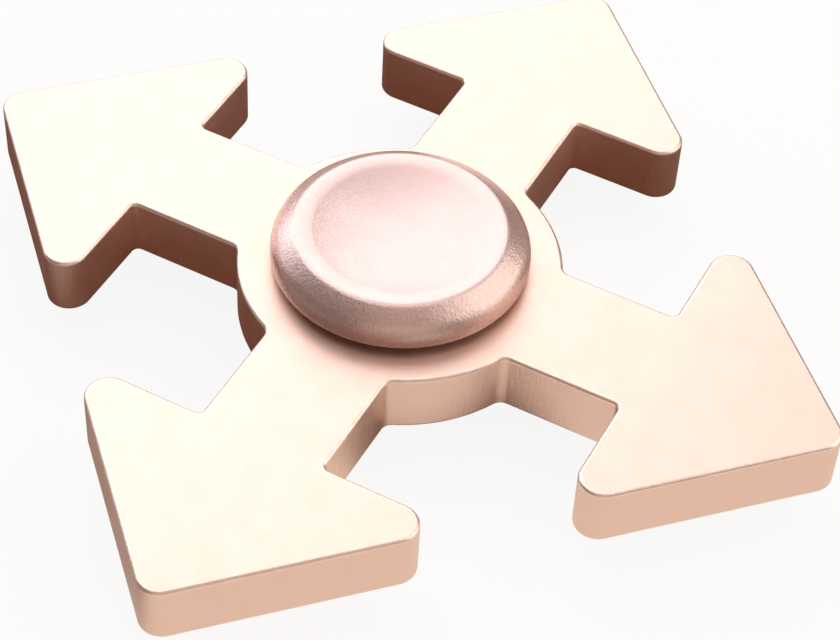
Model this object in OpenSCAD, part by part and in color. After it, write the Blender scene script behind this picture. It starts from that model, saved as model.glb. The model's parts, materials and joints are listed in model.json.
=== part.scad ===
// Four-arrow fidget spinner: a machined alloy plate that spins on a shielded
// miniature ball bearing, held between two dished finger caps that screw
// together through the bearing's bore.
// Z is the spin axis. The origin lies where the lower cap's rim meets the table.

/* [Plate] */
// Thickness of the arrow plate
plate_t = 5.2; // [4.9:0.1:6]
// Diameter of the round hub
hub_d = 25.4; // [22:0.1:28]
// Number of arrow arms
arm_count = 4; // [2:1:5]
// Width of an arm between the hub and the arrowhead
arm_w = 10.3; // [7:0.1:11]
// Distance from the spin axis to the flat back of an arrowhead
head_back = 21.2; // [20:0.1:23]
// Distance from the spin axis to an arrowhead's apex before it is rounded
head_apex = 37.5; // [35:0.1:40]
// Radius of each arrow tip
tip_r = 1.8; // [1:0.1:4]
// Radius of each barb
barb_r = 1.8; // [0.6:0.1:2]
// Radius of the inside corner where an arm meets the hub
foot_r = 0.9; // [0.3:0.1:2]
// Radius of the inside corner where an arm meets its arrowhead
notch_r = 0.5; // [0.3:0.1:1.5]
// Chamfer at both mouths of the bearing seat
seat_chamfer = 0.25; // [0.1:0.05:0.5]

/* [Bearing] */
// Outside diameter of the outer ring
bearing_od = 12.7; // [12.6:0.1:12.9]
// Bore of the inner ring
bearing_bore = 6.35; // [6.3:0.05:6.4]
// Width of both rings
bearing_w = 4.762; // [4.7:0.001:4.9]
// Diameter of a ball
ball_d = 1.5875; // [1.5:0.0125:1.6]
// Number of balls
ball_count = 10; // [7:1:10]
// Thickness of the two shields
shield_t = 0.2; // [0.15:0.05:0.2]
// Diameter of the spring wire that holds each shield
clip_wire_d = 0.3; // [0.2:0.05:0.3]

/* [Finger caps] */
// Largest diameter of a cap
cap_d = 20.2; // [18:0.1:21]
// Air gap between the plate and a cap
cap_gap = 0.6; // [0.5:0.1:1.5]
// Height of a cap from its underside to its rim
cap_h = 2.9; // [2.4:0.1:3.2]
// Height of the upright band under the bevel
band_h = 1.6; // [0.8:0.05:1.7]
// Radius under the upright band
band_r = 0.3; // [0.2:0.1:0.5]
// Outer diameter of the flat rim around the dish
rim_d = 16.5; // [15:0.1:17]
// Width of the flat rim around the dish
rim_w = 0.85; // [0.5:0.05:1]
// Depth of the finger dish below the rim
dish_depth = 1.1; // [0.6:0.1:1.2]
// Outside diameter of the thread that joins the caps
thread_d = 4; // [3:0.5:4]

/* [Hidden] */
$fn = 96;
lap = 0.01;                              // overlap where pieces of one solid join
blend = 0.002;                           // arcs cross their tangents by this, to meet cleanly

// Plate
mid_z = plate_t / 2 + cap_gap + cap_h;   // middle of the plate and of the bearing
hub_r = hub_d / 2;
seat_r = bearing_od / 2 + 0.005;         // leaves a film of retaining compound

// Balls and raceways
pitch_r = (bearing_od + bearing_bore) / 4;
ball_r = ball_d / 2;
ball_play = 0.012;                       // ball to raceway
groove_r = 0.52 * ball_d;                // raceways are a little rounder than the balls
race_depth = 0.33;                       // from a ring's land to the bottom of its raceway
inner_land_r = pitch_r - ball_r + race_depth;
outer_land_r = pitch_r + ball_r - race_depth;
inner_groove_c = pitch_r - ball_r - ball_play + groove_r;
outer_groove_c = pitch_r + ball_r + ball_play - groove_r;

// Ring faces
face_z = bearing_w / 2;
ring_chamfer = 0.2;
inner_face_r = bearing_bore / 2 + 0.775; // inner ring's face, inside the shield
inner_step_z = 1.45;
seat_step_z = 1.5;                       // outer ring steps out here to seat the shield
shield_seat_r = bearing_od / 2 - 0.65;
clip_groove_r = shield_seat_r + 0.16;
clip_top_z = seat_step_z + shield_t + clip_wire_d + 2 * lap;

// Shields and their clips
shield_gap = 0.1;                        // shield to inner ring
shield_rise = 0.12;                      // pressed offset of the shield's inner band
shield_bend_w = 0.4;
clip_gap_angle = 34;

// Cage
cage_clear = 0.1;                        // cage to the lands of both rings
cage_low = -1.25;
cage_high = 0.5;
pocket_r = ball_r + 0.08;
prong_notch_r = 0.34;

// Caps
cap_r = cap_d / 2;
rim_r = rim_d / 2;
rim_edge = 0.15;                         // edge break between rim and bevel
dish_r = rim_r - rim_w;
dish_sphere_r = (dish_r * dish_r + dish_depth * dish_depth) / (2 * dish_depth);
boss_r = inner_face_r - 0.1;             // bears on the inner ring's face only
stem_r = bearing_bore / 2 - 0.02;
stem_end_gap = 0.28;                     // keeps the stem off the other cap's boss
thread_len = 3.4;
thread_fit = 0.02;
drill_run_out = 0.3;                     // tapped hole beyond the end of the thread

function ball_name(i) = str("bearing_ball_", i < 10 ? "0" : "", i);
// A ring profile's upper half, given from the middle plane up, with its mirror image
function both_halves(half) =
    concat(half, [for (i = [len(half) - 1:-1:0]) [half[i].x, -half[i].y]]);

// Lifts a part from the bearing's middle to its place above the table
module at_mid() {
    translate([0, 0, mid_z]) children();
}

// Turns a part over about the middle plane
module flipped() {
    mirror([0, 0, 1]) children();
}

// Repeats what lies above the X axis below it as well
module both_sides() {
    children();
    mirror([0, 1]) children();
}

// Right-angled arrowhead with a rounded tip and rounded barbs
module arrowhead() {
    head_half = head_apex - head_back;
    barb = [head_back + barb_r, head_half - barb_r / tan(22.5)];
    tip_x = head_apex - tip_r * sqrt(2);
    slant = sqrt(0.5);
    edge = [
        [head_back, barb.y],
        barb + barb_r * [slant, slant],
        [tip_x + tip_r * slant, tip_r * slant]
    ];
    polygon(both_halves([edge[2], edge[1], [head_back, barb.y]]));
    both_sides() translate(barb) circle(r = barb_r + blend);
    translate([tip_x, 0]) circle(r = tip_r + blend);
}

// Fillet between the side of an arm and the back of its arrowhead
module notch_fillet() {
    side = arm_w / 2;
    difference() {
        translate([head_back - notch_r, side - lap]) square(notch_r + lap);
        translate([head_back - notch_r, side + notch_r]) circle(r = notch_r + blend);
    }
}

// Fillet between the hub and the side of an arm, tangent to both
module foot_fillet() {
    side = arm_w / 2;
    centre_y = side + foot_r;
    centre_x = sqrt(pow(hub_r + foot_r, 2) - centre_y * centre_y);
    on_hub = [centre_x, centre_y] * hub_r / (hub_r + foot_r);
    difference() {
        polygon([[centre_x, side - 1], [centre_x, side], on_hub, on_hub - [1, 1]]);
        translate([centre_x, centre_y]) circle(r = foot_r + blend);
    }
}

module arm() {
    arrowhead();
    translate([0, -arm_w / 2]) square([head_back + lap, arm_w]);
    both_sides() {
        notch_fillet();
        foot_fillet();
    }
}

module spinner_body() {
    color("#e3b7a4")
    at_mid()
    difference() {
        union() {
            cylinder(r = hub_r, h = plate_t, center = true);
            for (k = [0:arm_count - 1])
                rotate(k * 360 / arm_count) linear_extrude(plate_t, center = true) arm();
        }
        cylinder(r = seat_r, h = plate_t + 2, center = true);
        for (side = [0, 1])
            mirror([0, 0, side])
            translate([0, 0, plate_t / 2 - seat_chamfer])
            cylinder(r1 = seat_r, r2 = seat_r + 2 * seat_chamfer, h = 2 * seat_chamfer);
    }
}

module bearing_outer_ring() {
    od_r = bearing_od / 2;
    color("#c9ccd0")
    at_mid()
    rotate_extrude()
    difference() {
        polygon(both_halves([
            [od_r, face_z - ring_chamfer],
            [od_r - ring_chamfer, face_z],
            [shield_seat_r, face_z],
            [shield_seat_r, clip_top_z],
            [clip_groove_r, clip_top_z],
            [clip_groove_r, seat_step_z + shield_t],
            [shield_seat_r, seat_step_z + shield_t],
            [shield_seat_r, seat_step_z],
            [outer_land_r, seat_step_z]
        ]));
        translate([outer_groove_c, 0]) circle(r = groove_r);
    }
}

module bearing_inner_ring() {
    bore_r = bearing_bore / 2;
    color("#c9ccd0")
    at_mid()
    rotate_extrude()
    difference() {
        polygon(both_halves([
            [inner_land_r, inner_step_z],
            [inner_face_r, inner_step_z],
            [inner_face_r, face_z],
            [bore_r + ring_chamfer, face_z],
            [bore_r, face_z - ring_chamfer]
        ]));
        translate([inner_groove_c, 0]) circle(r = groove_r);
    }
}

// Crown cage: a ring under the balls with prongs that close round them
module bearing_cage() {
    pitch_a = 360 / ball_count;
    low_r = inner_land_r + cage_clear;
    high_r = outer_land_r - cage_clear;
    color("#a9adb3")
    at_mid()
    difference() {
        rotate_extrude()
        translate([low_r, cage_low]) square([high_r - low_r, cage_high - cage_low]);
        for (i = [0:ball_count - 1]) {
            rotate(i * pitch_a) translate([pitch_r, 0, 0]) sphere(r = pocket_r);
            rotate((i + 0.5) * pitch_a)
            translate([pitch_r, 0, cage_high])
            rotate([0, 90, 0]) cylinder(r = prong_notch_r, h = 2, center = true);
        }
    }
}

module bearing_ball(i) {
    color("#d9dcdf")
    at_mid()
    rotate((i - 1) * 360 / ball_count) translate([pitch_r, 0, 0]) sphere(r = ball_r);
}

// Pressed shield: its outer band sits on the outer ring's step
module shield() {
    inner_r = inner_face_r + shield_gap;
    outer_r = shield_seat_r - lap;
    bend_r = (inner_r + outer_r - shield_bend_w) / 2;
    color("#b4b8bd")
    rotate_extrude()
    translate([0, seat_step_z])
    polygon([
        [inner_r, shield_rise],
        [bend_r, shield_rise],
        [bend_r + shield_bend_w, 0],
        [outer_r, 0],
        [outer_r, shield_t],
        [bend_r + shield_bend_w, shield_t],
        [bend_r, shield_t + shield_rise],
        [inner_r, shield_t + shield_rise]
    ]);
}

// Split ring of spring wire that snaps into the outer ring over the shield
module shield_clip() {
    wire_r = clip_wire_d / 2;
    color("#8f9399")
    translate([0, 0, seat_step_z + shield_t + wire_r + lap])
    rotate(clip_gap_angle / 2)
    rotate_extrude(angle = 360 - clip_gap_angle)
    translate([clip_groove_r - wire_r - lap, 0]) circle(r = wire_r);
}

// Dished button with the boss that bears on the inner ring, above the middle plane
module cap_blank() {
    under_z = plate_t / 2 + cap_gap;
    rim_z = under_z + cap_h;
    difference() {
        union() {
            rotate_extrude() {
                polygon([
                    [0, under_z],
                    [cap_r - band_r, under_z],
                    [cap_r - band_r, under_z + band_r],
                    [cap_r, under_z + band_r],
                    [cap_r, under_z + band_h],
                    [rim_r + rim_edge, rim_z - rim_edge],
                    [rim_r, rim_z],
                    [0, rim_z]
                ]);
                translate([cap_r - band_r, under_z + band_r]) circle(r = band_r);
            }
            translate([0, 0, face_z]) cylinder(r = boss_r, h = under_z - face_z + lap);
        }
        translate([0, 0, rim_z - dish_depth + dish_sphere_r])
        sphere(r = dish_sphere_r, $fn = 240);
    }
}

// Cap with the threaded post
module finger_cap_top() {
    color("#d9aea6")
    at_mid() {
        cap_blank();
        translate([0, 0, face_z - thread_len]) cylinder(d = thread_d, h = thread_len + lap);
    }
}

// Cap with the tapped stem that centres both caps in the bearing's bore
module finger_cap_bottom() {
    stem_end = face_z - stem_end_gap;
    color("#d9aea6")
    at_mid()
    difference() {
        union() {
            flipped() cap_blank();
            translate([0, 0, -face_z - lap])
            cylinder(r = stem_r, h = stem_end + face_z + lap);
        }
        translate([0, 0, face_z - thread_len - drill_run_out])
        cylinder(r = thread_d / 2 + thread_fit, h = thread_len + 1);
    }
}

spinner_body();
bearing_outer_ring();
bearing_inner_ring();
bearing_cage();
for (i = [1:ball_count])
    bearing_ball(i);
at_mid() shield();  // shield_top
at_mid() flipped() shield();  // shield_bottom
at_mid() shield_clip();  // shield_clip_top
at_mid() flipped() shield_clip();  // shield_clip_bottom
finger_cap_top();
finger_cap_bottom();
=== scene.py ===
"""A fidget spinner with four arrow arms in rose-gold alloy, built round its CAD frame.

The spinner lies on its lower finger cap. Z is the spin axis and every length is in metres.
Each sub-assembly is a class that holds its own sizes, models its pieces about the plate's
middle plane and lifts them to their height above the floor as they are handed over.
"""

from __future__ import annotations

import json
import logging
import math
from dataclasses import dataclass, field
from enum import Enum
from typing import Iterable, Mapping, Sequence

import bmesh
import bpy
from bmesh.types import BMEdge, BMesh, BMLayerItem, BMVert
from bpy.types import Material, Node, NodeSocket, NodeTree, Object
from mathutils import Matrix, Quaternion, Vector

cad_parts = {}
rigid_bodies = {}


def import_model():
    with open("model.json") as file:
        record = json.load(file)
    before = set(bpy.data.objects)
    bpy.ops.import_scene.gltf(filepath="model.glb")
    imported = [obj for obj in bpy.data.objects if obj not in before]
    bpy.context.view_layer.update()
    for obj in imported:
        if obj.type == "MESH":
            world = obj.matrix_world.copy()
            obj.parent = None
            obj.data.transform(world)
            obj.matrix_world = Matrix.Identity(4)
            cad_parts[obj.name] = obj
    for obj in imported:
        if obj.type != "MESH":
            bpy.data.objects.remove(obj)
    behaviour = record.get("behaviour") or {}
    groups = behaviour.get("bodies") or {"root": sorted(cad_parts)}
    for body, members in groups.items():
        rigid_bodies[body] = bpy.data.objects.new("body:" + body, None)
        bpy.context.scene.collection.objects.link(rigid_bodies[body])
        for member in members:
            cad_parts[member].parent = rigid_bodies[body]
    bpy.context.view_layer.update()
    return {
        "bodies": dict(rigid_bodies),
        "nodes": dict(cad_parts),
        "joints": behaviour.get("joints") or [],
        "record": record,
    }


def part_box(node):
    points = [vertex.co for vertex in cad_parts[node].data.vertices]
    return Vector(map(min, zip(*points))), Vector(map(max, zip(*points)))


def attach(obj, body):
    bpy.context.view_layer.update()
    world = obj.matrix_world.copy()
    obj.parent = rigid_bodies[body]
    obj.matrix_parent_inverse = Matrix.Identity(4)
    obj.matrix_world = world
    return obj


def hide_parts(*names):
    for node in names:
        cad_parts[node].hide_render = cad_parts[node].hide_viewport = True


LOG = logging.getLogger("spinner")
MM = 0.001
SAG = 0.002 * MM
SHARP_ANGLE = math.radians(38)
SQUARE_ANGLE = 1.0
MERGE = 0.0004 * MM
RIM_MASK = "rim_mask"

Colour = tuple[float, float, float, float]
Point2 = tuple[float, float]


# ---------------------------------------------------------------- drawing and turning


class Plane(Enum):
    """The plane that a path is drawn in."""

    PLAN = "plan"
    SECTION = "section"

    def lift(self, point: Point2) -> Vector:
        """Returns the 3-D place of a point: (x, y) in plan, (radius, height) in section."""
        first, second = point
        if self is Plane.PLAN:
            return Vector((first, second, 0.0))
        return Vector((first, 0.0, second))

    @property
    def axis(self) -> Vector:
        """The axis about which an anticlockwise arc turns."""
        return Vector((0, 0, 1)) if self is Plane.PLAN else Vector((0, -1, 0))


@dataclass(frozen=True)
class Corner:
    """One corner of a drawn path.

    Attributes:
        at: The sharp corner's place in the path's plane.
        radius: The radius that rounds it, or 0 to leave it sharp.
    """

    at: Point2
    radius: float = 0.0


def arc_steps(radius: float, angle: float) -> int:
    """Counts the straight steps that keep an arc within SAG of its circle.

    Args:
        radius: The arc's radius.
        angle: The angle it turns through, in radians.

    Returns:
        At least 3 steps.
    """
    step = 2 * math.acos(max(0.0, 1 - SAG / radius))
    return max(3, math.ceil(abs(angle) / step))


class Pen:
    """Draws a run of edges in one plane by extruding and spinning its last vertex."""

    def __init__(self, mesh: BMesh, plane: Plane, start: Point2) -> None:
        """Puts the pen down.

        Args:
            mesh: The mesh drawn in.
            plane: The plane drawn in.
            start: Where the run begins.
        """
        self.mesh = mesh
        self.plane = plane
        self.tip: BMVert = mesh.verts.new(plane.lift(start))

    def line(self, *points: Point2) -> Pen:
        """Draws straight to each point in turn."""
        for point in points:
            made = bmesh.ops.extrude_vert_indiv(self.mesh, verts=[self.tip])
            self.tip = made["verts"][0]
            self.tip.co = self.plane.lift(point)
        return self

    def arc(self, centre: Point2, angle: float) -> Pen:
        """Turns about a centre.

        Args:
            centre: The arc's centre.
            angle: The angle to turn through, in radians, anticlockwise if positive.

        Returns:
            The pen.
        """
        middle = self.plane.lift(centre)
        radius = (self.tip.co - middle).length
        made = bmesh.ops.spin(
            self.mesh,
            geom=[self.tip],
            cent=middle,
            axis=self.plane.axis,
            angle=angle,
            steps=arc_steps(radius, angle),
            use_duplicate=False,
        )
        self.tip = next(e for e in made["geom_last"] if isinstance(e, BMVert))
        return self

    def corner(self, corner: Corner, onward: Point2) -> Pen:
        """Draws to a corner and rounds it, ready to go on towards another point.

        Args:
            corner: The corner to round.
            onward: The next point that the path heads for.

        Returns:
            The pen.
        """
        if not corner.radius:
            return self.line(corner.at)
        place, target = self.plane.lift(corner.at), self.plane.lift(onward)
        back = (self.tip.co - place).normalized()
        ahead = (target - place).normalized()
        half = back.angle(ahead) / 2
        tangent = place + back * (corner.radius / math.tan(half))
        middle = place + (back + ahead).normalized() * (corner.radius / math.sin(half))
        left_turn = ahead.cross(back).dot(self.plane.axis) > 0
        turn = math.pi - 2 * half
        self.line(self.flat(tangent))
        return self.arc(self.flat(middle), turn if left_turn else -turn)

    def path(self, corners: Sequence[Corner]) -> Pen:
        """Draws through corners, rounding each one but the last, where the run ends."""
        for corner, following in zip(corners, corners[1:]):
            self.corner(corner, following.at)
        return self.line(corners[-1].at)

    def flat(self, place: Vector) -> Point2:
        """Returns a 3-D place as a point of the pen's plane."""
        if self.plane is Plane.PLAN:
            return place.x, place.y
        return place.x, place.z


def section_pen(start: Point2) -> Pen:
    """Puts a pen down in a new mesh, to draw a section for the lathe."""
    return Pen(bmesh.new(), Plane.SECTION, start)


def close_up(mesh: BMesh) -> BMesh:
    """Merges coincident vertices and turns all faces outwards."""
    bmesh.ops.remove_doubles(mesh, verts=mesh.verts, dist=MERGE)
    bmesh.ops.dissolve_degenerate(mesh, dist=MERGE, edges=mesh.edges)
    bmesh.ops.recalc_face_normals(mesh, faces=mesh.faces)
    return mesh


def swing(mesh: BMesh, angle: float, steps: int, **options: object) -> None:
    """Spins everything in a mesh about the Z axis.

    Args:
        mesh: The mesh.
        angle: The angle to turn through, in radians.
        steps: The number of steps it is done in.
        **options: More of the spin operator's settings, such as use_duplicate.
    """
    everything = [*mesh.verts, *mesh.edges, *mesh.faces]
    bmesh.ops.spin(mesh, geom=everything, axis=(0, 0, 1), angle=angle, steps=steps, **options)


def rim_mask(mesh: BMesh) -> BMLayerItem:
    """Returns the layer in which a mesh's rims are marked."""
    layers = mesh.loops.layers.float
    return layers.get(RIM_MASK) or layers.new(RIM_MASK)


def round_edges(
    mesh: BMesh,
    edges: Sequence[BMEdge],
    radius: float,
    segments: int,
    mask: BMLayerItem | None = None,
) -> None:
    """Rounds edges, or chamfers them if there is one segment.

    Args:
        mesh: The mesh the edges belong to.
        edges: The edges.
        radius: How far from each edge the rounding begins.
        segments: The number of faces across it.
        mask: The layer to mark the new faces in, if they are rims.
    """
    made = bmesh.ops.bevel(
        mesh,
        geom=edges,
        offset=radius,
        offset_type="OFFSET",
        affect="EDGES",
        segments=segments,
        profile=0.5,
        material=-1,
    )
    for face in made["faces"] if mask else ():
        for loop in face.loops:
            loop[mask] = 1.0


def lathe(section: BMesh, steps: int) -> BMesh:
    """Turns a closed section about the Z axis.

    Args:
        section: A mesh that holds the section's edges: a loop, or a run that starts and
            ends on the axis.
        steps: The number of flats round the circle.

    Returns:
        The same mesh, now a closed solid.
    """
    bmesh.ops.remove_doubles(section, verts=section.verts, dist=MERGE)
    swing(section, math.tau, steps, use_merge=True, use_duplicate=False)
    return close_up(section)


def soften(mesh: BMesh, rings: Iterable[Corner], segments: int = 4) -> None:
    """Rounds circular edges about the Z axis and marks their faces as rims.

    Args:
        mesh: A turned mesh.
        rings: The radius and height of each edge, with the radius that rounds it.
        segments: The number of faces across each rounding.
    """
    mask = rim_mask(mesh)
    for ring in rings:
        place = Vector(ring.at)
        edges = [
            edge
            for edge in mesh.edges
            if all((Vector((radius_of(v), v.co.z)) - place).length < 2 * SAG for v in edge.verts)
        ]
        round_edges(mesh, edges, ring.radius, segments, mask)


def put(name: str, mesh: BMesh) -> Object:
    """Makes an object of a mesh, which is freed, and links it to the scene."""
    data = bpy.data.meshes.new(name)
    mesh.to_mesh(data)
    mesh.free()
    made = bpy.data.objects.new(name, data)
    bpy.context.scene.collection.objects.link(made)
    return made


def upright(edge: BMEdge) -> bool:
    """Tells whether an edge runs up the Z axis."""
    along = edge.verts[1].co - edge.verts[0].co
    return abs(along.z) > max(abs(along.x), abs(along.y))


def radius_of(vert: BMVert) -> float:
    """Returns a vertex's distance from the spin axis."""
    return math.hypot(vert.co.x, vert.co.y)


# ---------------------------------------------------------------- node trees


class Sheet:
    """Adds nodes to one node tree and joins them by socket name."""

    def __init__(self, tree: NodeTree) -> None:
        """Takes the tree to draw in."""
        self.tree = tree

    def node(
        self,
        kind: str,
        inputs: Mapping[str | int, object] | None = None,
        **settings: object,
    ) -> Node:
        """Adds a node.

        Args:
            kind: The node's type, without its ShaderNode prefix.
            inputs: Socket name or number to a value, or to the socket that feeds it.
            **settings: The node's own properties.

        Returns:
            The node.
        """
        made = self.tree.nodes.new("ShaderNode" + kind)
        for name, value in settings.items():
            setattr(made, name, value)
        for name, value in (inputs or {}).items():
            if isinstance(value, NodeSocket):
                self.tree.links.new(value, made.inputs[name])
            else:
                made.inputs[name].default_value = value
        return made

    def math(self, operation: str, *values: object) -> NodeSocket:
        """Returns the result of a Math node."""
        made = self.node("Math", dict(enumerate(values)), operation=operation)
        return made.outputs[0]

    def vector(self, operation: str, *values: object) -> Mapping[str, NodeSocket]:
        """Returns the outputs of a Vector Math node: Vector and Value."""
        return self.node("VectorMath", dict(enumerate(values)), operation=operation).outputs

    def along(self, place: NodeSocket, way: Sequence[float]) -> NodeSocket:
        """Returns how far a place lies in a direction."""
        return self.vector("DOT_PRODUCT", place, way)["Value"]

    def noise(self, vector: NodeSocket, scale: object, detail: float = 2.0) -> NodeSocket:
        """Returns a noise texture's value, from 0 to 1 about a half."""
        made = self.node("TexNoise", {"Vector": vector, "Scale": scale, "Detail": detail})
        return made.outputs["Fac"]

    def ramp(
        self, value: NodeSocket, low: float, high: float, bottom: object, top: object
    ) -> NodeSocket:
        """Returns value, smoothly carried from low..high to bottom..top and held there."""
        made = self.node(
            "MapRange", {0: value, 1: low, 2: high, 3: bottom, 4: top}, interpolation_type="SMOOTHSTEP"
        )
        return made.outputs[0]

    def bump(self, height: NodeSocket, distance: float, **inputs: NodeSocket) -> NodeSocket:
        """Returns the normal that a height gives, which may start from another Normal."""
        made = self.node("Bump", {"Height": height, "Distance": distance, **inputs})
        return made.outputs[0]

    def upward(self) -> NodeSocket:
        """Returns 1 on level faces and 0 on upright ones."""
        normal = self.node("NewGeometry").outputs["Normal"]
        return self.math("ABSOLUTE", self.node("SeparateXYZ", {0: normal}).outputs["Z"])

    def mix(self, share: NodeSocket, first: object, second: object) -> NodeSocket:
        """Returns a blend of two colours."""
        made = self.node("Mix", {0: share, 6: first, 7: second}, data_type="RGBA")
        return made.outputs[2]

    def blend(self, share: object, first: Node, second: Node) -> Node:
        """Blends two shaders: none of the second where the share is 0, only it where 1."""
        return self.node("MixShader", {0: share, 1: first.outputs[0], 2: second.outputs[0]})


class Effect:
    """A shader node group that several finishes share.

    Subclasses name their sockets and draw their nodes. The group is made once.
    """

    name = ""
    takes: Mapping[str, str] = {}
    gives: Sequence[str] = ()

    @classmethod
    def tree(cls) -> NodeTree:
        """Returns the group, built the first time it is asked for."""
        found = bpy.data.node_groups.get(cls.name)
        if found:
            return found
        made = bpy.data.node_groups.new(cls.name, "ShaderNodeTree")
        for socket, kind in cls.takes.items():
            made.interface.new_socket(socket, in_out="INPUT", socket_type="NodeSocket" + kind)
        for socket in cls.gives:
            made.interface.new_socket(socket, in_out="OUTPUT", socket_type="NodeSocketFloat")
        sheet = Sheet(made)
        entry = made.nodes.new("NodeGroupInput")
        leave = made.nodes.new("NodeGroupOutput")
        results = cls.draw(sheet, {s.name: s for s in entry.outputs if s.name})
        for socket, value in zip(cls.gives, results):
            made.links.new(value, leave.inputs[socket])
        return made

    @classmethod
    def draw(cls, sheet: Sheet, given: Mapping[str, NodeSocket]) -> Sequence[NodeSocket]:
        """Draws the group's nodes and returns the sockets that feed its outputs."""
        raise NotImplementedError

    @classmethod
    def use(cls, sheet: Sheet, **inputs: object) -> Mapping[str, NodeSocket]:
        """Places the group in a material.

        Args:
            sheet: The material's sheet.
            **inputs: Socket name to a value or a socket.

        Returns:
            The group's outputs by name.
        """
        made = sheet.node("Group", inputs, node_tree=cls.tree())
        return {s.name: s for s in made.outputs}


class BeadBlast(Effect):
    """The frosted grain that glass beads leave: small overlapping pits and bright facets."""

    name = "bead_blast"
    takes = {"Vector": "Vector", "Size": "Float"}
    gives = ("Height", "Facets")

    @classmethod
    def draw(cls, sheet: Sheet, given: Mapping[str, NodeSocket]) -> Sequence[NodeSocket]:
        """Draws pits from two noises and a cell pattern, and facets from a third noise."""
        scale = sheet.math("DIVIDE", 1.0, given["Size"])
        fine = sheet.noise(given["Vector"], scale, 2.0)
        broad = sheet.noise(given["Vector"], sheet.math("MULTIPLY", scale, 0.31), 3.0)
        cells = sheet.node(
            "TexVoronoi", {"Vector": given["Vector"], "Scale": sheet.math("MULTIPLY", scale, 0.62)}
        )
        pits = sheet.math("MULTIPLY", cells.outputs["Distance"], 0.5)
        height = sheet.math("ADD", sheet.math("ADD", fine, broad), pits)
        facets = sheet.ramp(fine, 0.5, 0.72, 0.0, 1.0)
        return height, facets


class Clouding(Effect):
    """Slow, soft changes across a face, as an anodised skin and handling leave."""

    name = "clouding"
    takes = {"Vector": "Vector", "Size": "Float"}
    gives = ("Cloud", "Mottle")

    @classmethod
    def draw(cls, sheet: Sheet, given: Mapping[str, NodeSocket]) -> Sequence[NodeSocket]:
        """Draws one broad and one finer noise."""
        scale = sheet.math("DIVIDE", 1.0, given["Size"])
        cloud = sheet.ramp(sheet.noise(given["Vector"], scale, 3.0), 0.3, 0.7, 0.0, 1.0)
        finer = sheet.math("MULTIPLY", scale, 7.0)
        mottle = sheet.ramp(sheet.noise(given["Vector"], finer, 4.0), 0.3, 0.7, 0.0, 1.0)
        return cloud, mottle


class RimRubAndHighlight(Effect):
    """Worn broken edges with a painted highlight on them: patchy along each rim."""

    name = "rim_rub_and_highlight"
    takes = {"Vector": "Vector", "Rim": "Float", "Size": "Float"}
    gives = ("Mask",)

    @classmethod
    def draw(cls, sheet: Sheet, given: Mapping[str, NodeSocket]) -> Sequence[NodeSocket]:
        """Breaks the rim's mask up with noise."""
        scale = sheet.math("DIVIDE", 1.0, given["Size"])
        patches = sheet.ramp(sheet.noise(given["Vector"], scale, 5.0), 0.38, 0.62, 0.55, 1.0)
        return (sheet.math("MULTIPLY", given["Rim"], patches),)


class CutterLines(Effect):
    """Fine lines up the walls, left by the side of a milling cutter."""

    name = "cutter_lines"
    takes = {"Vector": "Vector", "Pitch": "Float"}
    gives = ("Height",)

    @classmethod
    def draw(cls, sheet: Sheet, given: Mapping[str, NodeSocket]) -> Sequence[NodeSocket]:
        """Stretches a noise along Z and keeps it to upright faces."""
        scale = sheet.math("DIVIDE", 1.0, given["Pitch"])
        stretched = sheet.vector("MULTIPLY", given["Vector"], (1.0, 1.0, 0.06))["Vector"]
        lines = sheet.noise(stretched, scale, 3.0)
        wall = sheet.ramp(sheet.upward(), 0.25, 0.6, 1.0, 0.0)
        return (sheet.math("MULTIPLY", lines, wall),)


class LatheLines(Effect):
    """Fine rings round the Z axis, left by turning or grinding."""

    name = "lathe_lines"
    takes = {"Vector": "Vector", "Pitch": "Float"}
    gives = ("Height",)

    @classmethod
    def draw(cls, sheet: Sheet, given: Mapping[str, NodeSocket]) -> Sequence[NodeSocket]:
        """Reads a noise along the radius and the height only."""
        scale = sheet.math("DIVIDE", 1.0, given["Pitch"])
        across = sheet.vector("MULTIPLY", given["Vector"], (1.0, 1.0, 0.0))["Vector"]
        radius = sheet.vector("LENGTH", across)["Value"]
        height = sheet.node("SeparateXYZ", {0: given["Vector"]}).outputs["Z"]
        ringed = sheet.node("CombineXYZ", {0: radius, 2: height})
        return (sheet.noise(ringed.outputs[0], scale, 3.0),)


# ---------------------------------------------------------------- finishes


def new_sheet(name: str) -> Sheet:
    """Makes a material and returns its sheet."""
    material = bpy.data.materials.new(name)
    material.use_nodes = True
    return Sheet(material.node_tree)


def coat(
    sheet: Sheet, metallic: float, colour: NodeSocket, rough: NodeSocket, normal: NodeSocket
) -> None:
    """Joins a material's nodes to its Principled shader, whose metallic value is constant."""
    shader = sheet.tree.nodes["Principled BSDF"]
    shader.inputs["Metallic"].default_value = metallic
    for name, socket in {"Base Color": colour, "Roughness": rough, "Normal": normal}.items():
        sheet.tree.links.new(socket, shader.inputs[name])


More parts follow.
